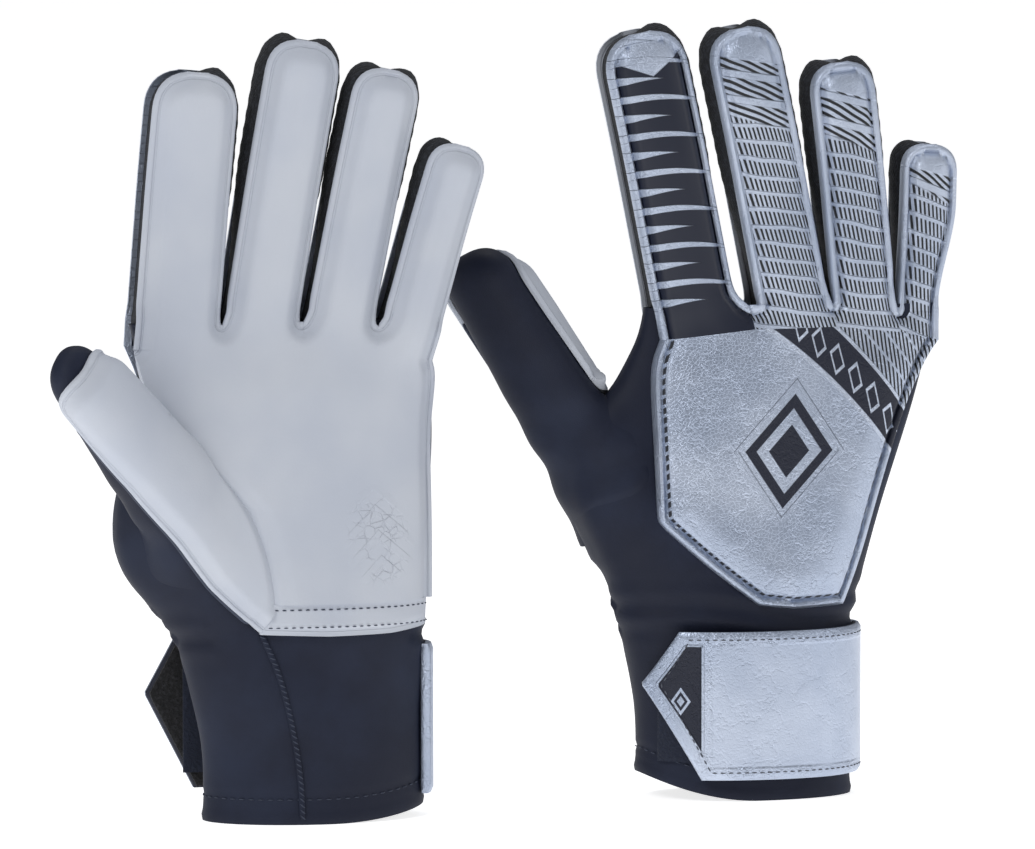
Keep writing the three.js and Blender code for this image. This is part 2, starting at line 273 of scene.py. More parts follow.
def sheet_of(columns, rows, wrap=False, thick=True):
    """A flat or tubular grid, doubled into a closed wall; gives the mesh and its u, v, side."""
    bm = bmesh.new()
    bmesh.ops.create_grid(bm, x_segments=columns, y_segments=rows, size=0.5)
    keys = bm.verts.layers.float_vector.new("keys")
    for vertex in bm.verts:
        u = vertex.co.x + 0.5
        v = vertex.co.y + 0.5
        vertex[keys] = (u, v, 0)
        if wrap:
            vertex.co = (math.cos(math.tau * u), math.sin(math.tau * u), v)
    if wrap:
        bmesh.ops.remove_doubles(bm, verts=bm.verts, dist=1e-5)
    if thick:
        made = bmesh.ops.extrude_face_region(bm, geom=bm.faces[:])
        for item in made["geom"]:
            if isinstance(item, bmesh.types.BMVert):
                item[keys] = (item[keys][0], item[keys][1], 1)
    bm.verts.index_update()
    values = np.array([vertex[keys] for vertex in bm.verts])
    return bm, values[:, 0], values[:, 1], values[:, 2]


def along_line(points, t):
    """Points at parts t of the way along a line of points, by length."""
    points = np.asarray(points, float)
    steps = np.linalg.norm(np.diff(points, axis=0), axis=1)
    reach = np.concatenate([[0], np.cumsum(steps)])
    at = np.asarray(t) * reach[-1]
    return np.stack([np.interp(at, reach, points[:, i]) for i in range(points.shape[1])], 1)


def rounded(points, rounds=3):
    """Cuts the corners of a line of points."""
    line = np.asarray(points, float)
    for _ in range(rounds):
        near = mix(line[:-1], line[1:], 0.25)
        far = mix(line[:-1], line[1:], 0.75)
        inner = np.stack([near, far], 1).reshape(-1, line.shape[1])
        line = np.vstack([line[:1], inner[1:-1], line[-1:]])
    return line


def edge_distance(points, line):
    """The distance of points from a line of points."""
    line = np.asarray(line, float)
    start = line[:-1]
    step = line[1:] - start
    size = np.maximum((step**2).sum(1), 1e-9)
    best = np.full(len(points), 1e9)
    for a, d, n in zip(start, step, size):
        rel = points - a
        t = np.clip(rel @ d / n, 0, 1)
        best = np.minimum(best, np.linalg.norm(rel - t[:, None] * d, axis=1))
    return best


def bead(glove, name, line, radius, slot, flat=1.0, section=8):
    """A raised seam along a line of points, closed at its ends."""
    line = np.asarray(line, float)
    count = len(line) - 1
    bm, u, v, _ = sheet_of(section, count, wrap=True, thick=False)
    ends = [edge for edge in bm.edges if edge.is_boundary]
    bmesh.ops.holes_fill(bm, edges=ends, sides=section + 2)
    row = np.rint(v * count).astype(int)
    ahead = np.gradient(line, axis=0)
    ahead /= np.linalg.norm(ahead, axis=1)[:, None]
    _, out = slope_of(skin_distance, glove, line)
    out -= (out * ahead).sum(1)[:, None] * ahead
    out /= np.maximum(np.linalg.norm(out, axis=1), 1e-6)[:, None]
    wide = np.cross(ahead, out)
    angle = math.tau * u
    near_end = np.minimum(row, count - row)
    size = radius * np.where(near_end < 1, 0.55, 1.0)
    place = line[row] + wide[row] * (size * np.cos(angle))[:, None]
    place += out[row] * (size * flat * np.sin(angle))[:, None]
    reach = np.concatenate([[0], np.cumsum(np.linalg.norm(np.diff(line, axis=0), axis=1))])
    pattern = np.stack([reach[row], u * 6, np.zeros(len(u))], 1)
    return finish_piece(glove, name, bm, place, pattern, slot)


def stitches(glove, name, line, slot, pitch=3.0, length=2.0, radius=0.32, out=None, slant=0.0):
    """A row of sewn stitches along a line, each a small flattened bead lying on the surface."""
    line = np.asarray(line, float)
    total = np.linalg.norm(np.diff(line, axis=0), axis=1).sum()
    count = max(2, int(total / pitch))
    places = along_line(line, (np.arange(count) + 0.5) / count)
    ahead = along_line(line, np.clip((np.arange(count) + 0.6) / count, 0, 1)) - places
    ahead /= np.linalg.norm(ahead, axis=1)[:, None]
    if out is None:
        _, lift = slope_of(skin_distance, glove, places)
    else:
        lift = np.tile(np.asarray(out, float), (count, 1))
    bm = bmesh.new()
    for place, along, up in zip(places, ahead, lift):
        up = unit(up - up.dot(along) * along)
        wide = np.cross(up, along)
        along = unit(along + slant * wide)
        wide = np.cross(up, along)
        made = bmesh.ops.create_icosphere(bm, subdivisions=1, radius=1.0)
        turn = Matrix((along * length / 2, wide * radius, up * radius)).transposed().to_4x4()
        turn.translation = place
        bmesh.ops.transform(bm, matrix=turn, verts=made["verts"])
    positions = np.array([vertex.co for vertex in bm.verts])
    return finish_piece(glove, name, bm, positions, positions, slot, sharp=3)


def body(glove, part):
    return f"{glove['side']}_{part}"


def hand_of(glove):
    return body(glove, "hand")


def stands_for(piece, glove, *nodes):
    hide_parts(*[body(glove, node) for node in nodes])


# ------------------------------------------------------------------ material shop
class Wire:
    """A socket of a material; arithmetic on it adds Math nodes."""

    def __init__(self, shop, socket):
        self.shop = shop
        self.socket = socket

    def __add__(self, other):
        return self.shop.math("ADD", self, other)

    __radd__ = __add__

    def __sub__(self, other):
        return self.shop.math("SUBTRACT", self, other)

    def __rsub__(self, other):
        return self.shop.math("SUBTRACT", other, self)

    def __mul__(self, other):
        return self.shop.math("MULTIPLY", self, other)

    __rmul__ = __mul__

    def __truediv__(self, other):
        return self.shop.math("DIVIDE", self, other)

    def __neg__(self):
        return self.shop.math("MULTIPLY", self, -1.0)


class Shop:
    """Builds one node material on a Principled surface."""

    def __init__(self, name, slot, roughness=0.6, metallic=0.0, **surface):
        self.material = bpy.data.materials.new(name)
        self.material.use_nodes = True
        self.tree = self.material.node_tree
        self.surface = self.tree.nodes["Principled BSDF"]
        self.surface.inputs["Roughness"].default_value = roughness
        self.surface.inputs["Metallic"].default_value = metallic
        for socket, value in surface.items():
            self.surface.inputs[socket.replace("_", " ")].default_value = value
        MATERIALS[name] = self.material
        self.object = self.node("ShaderNodeTexCoord", {}, {}, "Object")

    def node(self, kind, settings, sockets, output=0):
        made = self.tree.nodes.new(kind)
        for setting, value in settings.items():
            setattr(made, setting, value)
        for key, value in sockets.items():
            self.put(made.inputs[key], value)
        return Wire(self, made.outputs[output])

    def put(self, socket, value):
        if isinstance(value, Wire):
            self.tree.links.new(value.socket, socket)
        else:
            socket.default_value = value

    def set(self, name, value):
        self.put(self.surface.inputs[name], value)

    def math(self, operation, *values):
        return self.node("ShaderNodeMath", {"operation": operation}, dict(enumerate(values)))

    def step(self, value, low, high):
        """Rises smoothly from 0 at low to 1 at high."""
        sockets = {"Value": value, "From Min": low, "From Max": high}
        return self.node("ShaderNodeMapRange", {"interpolation_type": "SMOOTHSTEP"}, sockets)

    def blend(self, factor, first, second):
        sockets = {0: factor, 6: first, 7: second}
        return self.node("ShaderNodeMix", {"data_type": "RGBA"}, sockets, 2)

    def noise(self, scale, detail=3.0, vector=None, roughness=0.55):
        sockets = {"Vector": vector or self.object, "Scale": scale, "Detail": detail}
        sockets["Roughness"] = roughness
        return self.node("ShaderNodeTexNoise", {}, sockets)

    def cells(self, scale, vector=None, feature="F1"):
        sockets = {"Vector": vector or self.object, "Scale": scale}
        return self.node("ShaderNodeTexVoronoi", {"feature": feature}, sockets)

    def pattern(self):
        """The sewing pattern's coordinates: across, along, and distance from the edge."""
        whole = self.node("ShaderNodeAttribute", {"attribute_name": "pattern"}, {}, "Vector")
        split = self.tree.nodes.new("ShaderNodeSeparateXYZ")
        self.put(split.inputs[0], whole)
        return [Wire(self, split.outputs[i]) for i in range(3)]

    def fract(self, value):
        return self.math("FRACT", value)

    def band(self, value, middle, half, soft):
        """1 within half of middle, falling to 0 over soft."""
        away = self.math("ABSOLUTE", value - middle)
        return 1 - self.step(away, half, half + soft)

    def bump(self, height, distance, strength=1.0):
        sockets = {"Height": height, "Distance": distance * MM, "Strength": strength}
        self.set("Normal", self.node("ShaderNodeBump", {}, sockets))


MATERIALS = {}


def tone(r, g, b):
    return (r, g, b, 1.0)


LATEX = tone(0.55, 0.58, 0.64)
LATEX_SHADE = tone(0.49, 0.525, 0.60)
SILVER = tone(0.42, 0.48, 0.60)
SILVER_DARK = tone(0.40, 0.45, 0.57)
SILVER_PALE = tone(0.56, 0.62, 0.74)
NAVY = tone(0.006, 0.009, 0.024)
NAVY_WORN = tone(0.013, 0.019, 0.042)
BLACK = tone(0.008, 0.009, 0.012)
THREAD_DARK = tone(0.02, 0.022, 0.03)


def latex_material(name, worn=False):
    """White foam with a pressed line inside its edge, greyed there with painted shade; the palm's also has a
    worn patch.
    """
    shop = Shop(name, "latex_white", roughness=0.62, Specular_IOR_Level=0.35)
    across, along, edge = shop.pattern()
    cloud = shop.noise(22, 3)
    pores = shop.noise(1500, 2)
    # seam marks the pressed line: a real groove in the bump, and painted shade in the colour
    seam = shop.band(edge, 1.75, 0.18, 0.3)
    colour = shop.blend(shop.step(cloud, 0.35, 0.7), LATEX_SHADE, LATEX)
    height = pores * 0.10 + cloud * 0.5 - seam * 0.35
    if worn:
        ridges, cracks = worn_patch(shop, across, along)
        colour = shop.blend(cracks * 0.5, colour, tone(0.44, 0.47, 0.54))
        height = height + ridges - cracks * 0.35
    # painted shade: the pressed line is greyed as if shadowed in its groove
    shop.set("Base Color", shop.blend(seam * 0.35, colour, tone(0.42, 0.45, 0.52)))
    shop.set("Roughness", 0.55 + 0.2 * cloud)
    shop.bump(height, 0.5)


def worn_patch(shop, across, along):
    """Rubbed plain chevrons and the cracks among them, low on one side of the palm."""
    crackle = shop.cells(330, feature="DISTANCE_TO_EDGE")
    tear = shop.noise(140, 4)
    sideways = across - 18.5
    away = shop.math("POWER", sideways / 12.0, 2.0) + shop.math("POWER", (along - 85) / 17.0, 2.0)
    spot = 1 - shop.step(away + tear * 0.9, 0.85, 1.35)
    chevron = shop.fract((along + shop.math("ABSOLUTE", sideways) * 0.9) / 7.5)
    ridge = shop.band(chevron, 0.5, 0.16, 0.08) * spot
    cracks = (1 - shop.step(crackle, 0.0, 0.09)) * spot * shop.step(tear, 0.42, 0.6)
    return ridge * 0.7 * tear, cracks


def navy_material():
    shop = Shop("navy_neoprene", "navy_fabric", roughness=0.6, Specular_IOR_Level=0.3)
    knit = shop.noise(2600, 2)
    cloud = shop.noise(30, 4)
    folds = shop.noise(55, 2)
    shop.set("Base Color", shop.blend(shop.step(cloud, 0.4, 0.75), NAVY, NAVY_WORN))
    shop.set("Roughness", 0.5 + 0.25 * cloud)
    shop.bump(knit * 0.10 + folds * 0.9, 0.6)


def leather_height(shop):
    """Fine leather grain with a few longer creases."""
    grain = shop.cells(900, feature="DISTANCE_TO_EDGE")
    fine = shop.noise(1300, 3)
    crease = shop.noise(60, 5, roughness=0.65)
    line = 1 - shop.step(shop.math("ABSOLUTE", crease - 0.5), 0.0, 0.03)
    dents = shop.noise(17, 2)
    return shop.step(grain, 0.0, 0.12) * 0.10 + fine * 0.08 - line * 0.2 + crease * 0.6 + dents * 2.4


def silver_tone(shop, cloud):
    return shop.blend(shop.step(cloud, 0.35, 0.7), SILVER, SILVER_PALE)


def silver_material():
    shop = Shop("silver_leather", "silver_backhand", roughness=0.36, metallic=0.75)
    cloud = shop.noise(26, 4)
    shop.set("Base Color", silver_tone(shop, cloud))
    shop.set("Roughness", 0.30 + 0.2 * cloud)
    shop.bump(leather_height(shop), 0.5)


def piping_material():
    shop = Shop("silver_piping", "silver_backhand", roughness=0.4, metallic=0.45)
    weave = shop.noise(900, 2)
    shop.set("Base Color", shop.blend(shop.step(weave, 0.35, 0.7), SILVER_DARK, SILVER_PALE))
    shop.set("Roughness", 0.32 + 0.2 * weave)
    shop.bump(weave, 0.15)


def backhand_material():
    """Silver body, navy band with piping and plain marks, and hatched knuckles."""
    shop = Shop("backhand_sheet", "silver_backhand", roughness=0.36)
    across, along, edge = shop.pattern()
    cloud = shop.noise(26, 4)
    turn = across + 36.0
    low = 155.5 - 0.333 * turn - 0.00528 * turn * turn
    gap = along - low
    wide = 10.8 + 5.0 * shop.step(turn, 24, 50)
    navy = shop.step(gap, -0.2, 0.2)
    upper = 1 - shop.step(gap - wide, -0.3, 0.1)
    band = navy * upper
    knuckles = shop.step(gap - wide, 0.4, 0.6)
    pipes = shop.band(gap, 0.0, 0.7, 0.3) + shop.band(gap - wide, 0.0, 0.6, 0.3)
    hatch = shop.band(shop.fract((across + 0.25 * along) / 1.25), 0.5, 0.18, 0.08)
    rows = shop.band(shop.fract((gap - wide) / 6.5), 0.5, 0.40, 0.05)
    hatch = hatch * rows * knuckles
    marks = shop.fract((across + 2.5) / 6.4)
    slope = shop.math("ABSOLUTE", marks - 0.5) * 6.4 + shop.math("ABSOLUTE", gap - 7.2) * 0.55
    diamonds = shop.band(slope, 2.3, 0.28, 0.2) * shop.step(across, -2, 0) * upper * navy
    size = shop.math("ABSOLUTE", across - 1.5) + shop.math("ABSOLUTE", along - 106.0) * 0.80
    emblem = shop.band(size, 12.0, 1.6, 0.3) + (1 - shop.step(size, 6.2, 6.5))
    frame_line = shop.band(size, 16.6, 0.5, 0.5)
    stitch_run = shop.fract((across - along) / 3.3)
    dashes = shop.band(edge, 3.4, 0.26, 0.15) * shop.band(stitch_run, 0.5, 0.28, 0.05) * (1 - navy)
    silver = silver_tone(shop, cloud)
    colour = shop.blend(band, silver, NAVY)
    colour = shop.blend(hatch, colour, BLACK)
    bright = shop.math("MINIMUM", pipes + diamonds, 1.0)
    colour = shop.blend(bright, colour, SILVER_PALE)
    colour = shop.blend(emblem, colour, NAVY)
    shop.set("Base Color", shop.blend(dashes, colour, THREAD_DARK))
    dull = shop.math("MAXIMUM", band * (1 - bright), hatch)
    dull = shop.math("MAXIMUM", dull, shop.math("MAXIMUM", emblem, dashes))
    shop.set("Metallic", 0.8 - 0.8 * dull)
    shop.set("Roughness", 0.30 + 0.2 * cloud + 0.15 * dull)
    height = leather_height(shop) + bright * 0.8 - hatch * 0.6 + frame_line * 1.4
    shop.bump(height - emblem * 0.5 + dashes * 0.5, 0.5)


def striped_index_material():
    """Navy finger back with raised silver stripes that taper, and a silver tip cap."""
    shop = Shop("striped_finger_back", "silver_backhand", roughness=0.36)
    across, along, edge = shop.pattern()
    cloud = shop.noise(26, 4)
    wide = FINGER_WIDTH["index"] / 2
    part = across / wide
    line = along + 0.16 * across + 1.6 * part * part
    cycle = line / 11.4
    full = shop.math("ABSOLUTE", shop.fract(cycle) - 0.5) * 11.4
    short = shop.math("ABSOLUTE", shop.fract(cycle + 0.5) - 0.5) * 11.4
    long_stripe = 1 - shop.step(full - (0.75 - 0.35 * part), 0.0, 0.25)
    left_stripe = 1 - shop.step(short - (0.15 - 1.3 * part), 0.0, 0.25)
    cap_edge = 76.0 - 7.0 * (1 - shop.math("ABSOLUTE", part))
    cap = shop.step(along - cap_edge, -0.2, 0.2)
    binding = 1 - shop.step(edge, 2.3, 2.6)
    stripes = shop.math("MINIMUM", long_stripe + left_stripe, 1.0) * shop.step(along, -2, 0)
    bright = shop.math("MAXIMUM", stripes, binding)
    bright = shop.math("MAXIMUM", bright, cap)
    silver = silver_tone(shop, cloud)
    shop.set("Base Color", shop.blend(bright, NAVY, silver))
    shop.set("Metallic", 0.55 * bright)
    shop.set("Roughness", 0.34 + 0.15 * cloud)
    shop.bump(stripes * 1.3 + cap * 0.5 + leather_height(shop) * bright, 0.6)


def ridged_finger_material(name, length, cap_slant):
    """Silver finger back with curved ridges and rows of fine black bars."""
    shop = Shop(name, "silver_backhand", roughness=0.36)
    across, along, edge = shop.pattern()
    wobble = shop.noise(38, 2) - 0.5
    cloud = shop.noise(26, 4)
    line = along + 0.30 * across + wobble * 5.0
    row = shop.fract(line / 5.2)
    ridge = shop.band(row, 0.08, 0.07, 0.05)
    bars = shop.band(shop.fract((across + 0.10 * along) / 1.25), 0.5, 0.17, 0.10)
    bars = bars * shop.band(row, 0.58, 0.33, 0.06)
    flow = shop.fract((along * 0.8 + 0.62 * across + wobble * 4.0) / 1.9)
    fine = shop.band(flow, 0.5, 0.17, 0.10)
    lens = shop.band(shop.fract((along + 0.35 * across) / 8.0), 0.5, 0.12, 0.06)
    fine = fine * (1 - lens)
    upper = shop.step(along + 0.5 * across, length * 0.60, length * 0.60 + 1.0)
    ink = bars * (1 - upper) + fine * upper
    raised = ridge * (1 - upper) + lens * upper
    cap = shop.step(along + cap_slant * across, length - 15.5, length - 15.0)
    binding = 1 - shop.step(edge, 2.3, 2.6)
    clear = 1 - shop.math("MAXIMUM", cap, binding)
    ink = ink * clear
    silver = silver_tone(shop, cloud)
    shop.set("Base Color", shop.blend(ink, silver, BLACK))
    shop.set("Metallic", 0.5 - 0.5 * ink)
    shop.set("Roughness", 0.34 + 0.15 * cloud + 0.1 * ink)
    height = raised * clear * 1.1 - ink * 0.5 + cap * 0.5 + leather_height(shop) * 0.7
    shop.bump(height, 0.55)


def knit_material():
    shop = Shop("black_knit", "black_mesh", roughness=0.85, Sheen_Weight=0.03)
    across, along, _ = shop.pattern()
    ribs = shop.math("SINE", across * 6.0) * shop.math("SINE", along * 4.0)
    fluff = shop.noise(900, 3)
    shop.set("Base Color", shop.blend(shop.step(fluff, 0.4, 0.7), BLACK, tone(0.025, 0.028, 0.036)))
    shop.set("Roughness", 0.75 + 0.2 * fluff)
    shop.bump(ribs * 0.3 + fluff, 0.3)


def tape_material(name, slot, dark, pale, scale, height):
    shop = Shop(name, slot, roughness=0.95, Sheen_Weight=0.05)
    fluff = shop.noise(scale, 4, roughness=0.75)
    tufts = shop.cells(scale * 0.7)
    shop.set("Base Color", shop.blend(shop.step(fluff, 0.4, 0.75), dark, pale))
    shop.set("Roughness", 0.8 + 0.2 * fluff)
    shop.bump(fluff + tufts * 0.6, height)


def thread_material(name, slot, colour, shade):
    shop = Shop(name, slot, roughness=0.7)
    twist = shop.noise(3000, 2)
    shop.set("Base Color", shop.blend(twist, shade, colour))
    shop.bump(twist, 0.08)


def strap_material():
    """Silver strap with a pointed navy inset, a raised frame and a plain diamond."""
    shop = Shop("strap_silver", "silver_backhand", roughness=0.36)
    across, along, edge = shop.pattern()
    cloud = shop.noise(26, 4)
    inset = shop.step(edge, 4.2, 4.5) * (1 - shop.step(across, 18.2, 18.5))
    rim = shop.band(edge, 4.2, 0.35, 0.25) * (1 - shop.step(across, 18.4, 18.7))
    rim = rim + shop.band(across, 18.6, 0.35, 0.25) * shop.step(edge, 4.0, 4.3)
    size = shop.math("ABSOLUTE", across - 12.5) * 1.5 + shop.math("ABSOLUTE", along - 31.0)
    mark = shop.band(size, 3.6, 0.55, 0.2) + (1 - shop.step(size, 1.5, 1.8))
    frame_in = shop.math("MINIMUM", across - 21.0, edge - 3.4)
    plate = shop.step(frame_in, 0.0, 0.8)
    silver = silver_tone(shop, cloud)
    dark = inset * (1 - shop.math("MINIMUM", mark, 1.0))
    lining = 1 - shop.step(edge, -1.6, -1.2)
    dark = shop.math("MAXIMUM", dark, lining)
    shop.set("Base Color", shop.blend(dark, silver, NAVY))
    shop.set("Metallic", 0.8 - 0.8 * dark)
    shop.set("Roughness", 0.28 + 0.2 * cloud + 0.2 * dark)
    shop.bump(plate * 1.0 + rim * 0.6 + leather_height(shop) * (1 - 0.7 * plate), 0.6)


def make_materials():
    latex_material("latex_foam")
    latex_material("latex_palm", worn=True)
    navy_material()
    silver_material()
    piping_material()
    backhand_material()
    striped_index_material()
    ridged_finger_material("ridged_middle_back", 88.0, 0.35)
    ridged_finger_material("ridged_ring_back", 77.0, 0.35)
    ridged_finger_material("ridged_pinky_back", 56.0, 0.2)
    knit_material()
    tape_material("hook_tape", "hook_tape", tone(0.005, 0.005, 0.006), tone(0.03, 0.03, 0.035), 900, 0.8)
    tape_material("loop_tape", "loop_tape", tone(0.008, 0.012, 0.028), tone(0.014, 0.02, 0.042), 1400, 0.4)
    thread_material("grey_thread", "silver_backhand", tone(0.12, 0.13, 0.16), tone(0.07, 0.08, 0.1))
    thread_material("navy_thread", "navy_fabric", tone(0.05, 0.06, 0.10), tone(0.02, 0.03, 0.05))
    strap_material()


make_materials()


# ------------------------------------------------------------------ fingers on a glove
def half_at(finger, s, inset=0.0):
    """Half a finger's width at a height along it, with a rounded tip."""
    half = finger["half"] - inset
    cap = finger["half"]
    end = finger["length"] - inset
    t = np.clip((s - (end - cap)) / cap, 0, 1)
    return half * np.maximum((1 - t**2.5) ** (1 / 2.5), 0.26)


def finger_point(finger, part, s, inset=0.0):
    """The flat place at part -1 to 1 across a finger and s along it."""
    s = np.asarray(s, float)
    slim = finger["slim"] * (1 - smooth(s / 32)) * (np.asarray(part) > 0)
    wide = (np.asarray(part) * (half_at(finger, s, inset) - slim))[..., None]
    return finger["base"] + finger["along"] * s[..., None] + finger["across"] * wide


def slots_of(glove):
    """The three slots between fingers: middle, half gap and direction of each."""
    slots = []
    for left, right in zip(glove["fingers"][:-1], glove["fingers"][1:]):
        near = finger_point(left, 1.0, 0.0)
        far = finger_point(right, -1.0, 0.0)
        slots.append(((near + far) / 2, (far - near) / 2, unit(left["along"] + right["along"])))
    return slots


def slot_edge(slot, side, s):
    """The slot's edge on one side at s, which is 0 at the fingers' bases and negative below."""
    middle, half_gap, up = slot
    s = np.asarray(s, float)
    wide = side * np.sqrt(np.clip(1 - (s / TAB) ** 2, 0, 1)) * (s > -TAB)
    return middle + half_gap * wide[..., None] + up * s[..., None]


def side_edge(glove, order, side, s):
    """The edge of a finger's panel at s, joined to its neighbour below the slot."""
    finger = glove["fingers"][order]
    own = finger_point(finger, side, s)
    index = order if side > 0 else order - 1
    if index < 0 or index > 2:
        return own
    shared = slot_edge(glove["slots"][index], -side, np.minimum(s, 0))
    return np.where((np.asarray(s) < 0)[..., None], shared, own)


def knots_of(glove):
    low = np.array([-ROOT])
    first = [side_edge(glove, 0, -1, low)[0]]
    return np.array(first + [side_edge(glove, i, 1, low)[0] for i in range(4)])


def finger_rim(finger, inset=0.0, low=0.0):
    """A line up one side of a finger, round its tip and down the other."""
    end = finger["length"] - inset
    cap = finger["half"]
    rise = np.concatenate([np.linspace(low, end - cap, 12), end - cap * np.cos(np.linspace(0.1, 1.57, 14))])
    left = finger_point(finger, -1.0, rise, inset)
    right = finger_point(finger, 1.0, rise[::-1], inset)
    return np.vstack([left, right])


def panel_rim(glove):
    """The whole free edge of the four fingers with the slots between them."""
    parts = [side_edge(glove, 0, -1, np.linspace(-ROOT, 0, 4))]
    turn = np.linspace(0, 1, 7) * math.pi / 2
    for order, finger in enumerate(glove["fingers"]):
        parts.append(finger_rim(finger))
        if order < 3:
            down = -TAB * np.sin(turn)
            parts.append(slot_edge(glove["slots"][order], -1, down))
            parts.append(slot_edge(glove["slots"][order], 1, down[::-1]))
    parts.append(side_edge(glove, 3, 1, np.linspace(0, -ROOT, 4)))
    return np.vstack(parts)


def plate_at(glove, order, part, s):
    """How far towards the palm a finger's front plate lies, evened out where fingers join."""
    fronts = [finger["front"] for finger in glove["fingers"]]
    own = fronts[order]
    left = fronts[order] if order == 0 else (fronts[order] + fronts[order - 1]) / 2
    right = fronts[order] if order == 3 else (fronts[order] + fronts[order + 1]) / 2
    near = 1 - smooth((s + TAB) / 12)
    return own + near * np.where(part < 0, left - own, right - own) * part**2


def curl(finger, s):
    return 2.6 * smooth((s / finger["length"] - 0.45) / 0.75)


def base_depth(glove, flat, back, order, part, s):
    """The y of the face that a panel lies on, from the hand's skin to the finger's plate."""
    start = np.stack([flat[:, 0], np.full(len(flat), 30.0 if back else -30.0), flat[:, 1]], 1)
    low = start.copy()
    low[:, 2] = np.minimum(low[:, 2], KNUCKLE_Z)
    low[:, 0] += lean_at(glove, low[:, 2]) - lean_at(glove, start[:, 2])
    reach = 0.93 * mix(CUFF_HALF_WIDTH, KNUCKLE_HALF_WIDTH, (low[:, 2] - CUFF_TOP) / (KNUCKLE_Z - CUFF_TOP))
    middle = lean_at(glove, low[:, 2])
    low[:, 0] = np.clip(low[:, 0], middle - reach - bulge_at(glove, low[:, 2]) * 0.8, middle + reach)
    field = tube_distance if back else skin_distance
    skin = settle(glove, low, LIFT, only_y=True, field=field)[:, 1]
    plate = np.zeros(len(flat))
    for i in range(4):
        mine = order == i
        plate[mine] = plate_at(glove, i, part[mine], s[mine])
    wrap = 1.7 * np.abs(part) ** 3 * smooth((s + TAB) / 6)
    if back:
        plate = plate + FINGER_DEPTH - BACKING - wrap
    else:
        plate = plate + FOAM + wrap
    return mix(skin, plate, smooth((s + 24) / 24))


def foam_height(edge):
    """The height of the palm foam over its backing: a thin flange, then a soft pillow."""
    lip = FLANGE * (0.55 + 0.45 * smooth(edge / 0.7)) - 0.35 * np.exp(-(((edge - 1.75) / 0.4) ** 2))
    return lip + (FOAM - FLANGE) * smooth((edge - 1.9) / 3.6) + 0.9 * smooth(edge / 13)


def backing_height(edge):
    """The height of the backhand sheet: a round piping along its edge, then the sheet."""
    pipe = 1.6 * np.sqrt(np.clip(1 - ((edge - 1.2) / 1.2) ** 2, 0, 1))
    return 1.0 + pipe + (BACKING - 1.2) * smooth((edge - 2.5) / 1.8) + 1.3 * smooth(edge / 11)


# ------------------------------------------------------------------ finger pieces
def finger_panel(glove, order, back, upper, slot):
    """One half of a finger's palm foam or backhand sheet."""
    finger = glove["fingers"][order]
    seam = finger["bend"] * 0.6
    columns = 26
    rows = 34 if upper else 24
    bm, u, v, side = sheet_of(columns, rows)
    part = 2 * u - 1
    if upper:
        end = finger["length"]
        cap = finger["half"]
        plain = (end - cap - seam) / (end - cap - seam + cap * 1.15)
        rise = np.clip((v - plain) / (1 - plain), 0, 1)
        straight = seam + (end - cap - seam) * v / plain
        s = np.where(v < plain, straight, end - cap + cap * np.sin(rise * math.pi / 2))
    else:
        s = mix(-ROOT, seam, v)
    spread = np.sign(part) * (1 - (1 - np.abs(part)) ** 1.35)
    left = side_edge(glove, order, -1, s)
    right = side_edge(glove, order, 1, s)
    flat = mix(left, right, ((spread + 1) / 2)[:, None])
    edge = edge_distance(flat, glove["rim"])
    orders = np.full(len(u), order)
    y = base_depth(glove, flat, back, orders, spread, s)
    height = backing_height(edge) if back else -foam_height(edge)
    y = y + height * (side < 0.5) - curl(finger, s)
    place = np.stack([flat[:, 0], y, flat[:, 1]], 1)
    across = (flat - finger["base"]) @ finger["across"]
    along = (flat - finger["base"]) @ finger["along"]
    face = "back" if back else "palm"
    level = "upper" if upper else "lower"
    name = f"{finger['name']}_{face}_{level}"
    piece = finish_piece(glove, name, bm, place, np.stack([across, along, edge], 1), slot)
    stands_for(piece, glove, name)
    join_finger(piece, upper)
    return piece


def join_finger(piece, upper):
    """Bakes a piece's placement into its mesh, for an upper piece as for a lower one."""
    if upper:
        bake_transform(piece)
    else:
        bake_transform(piece)


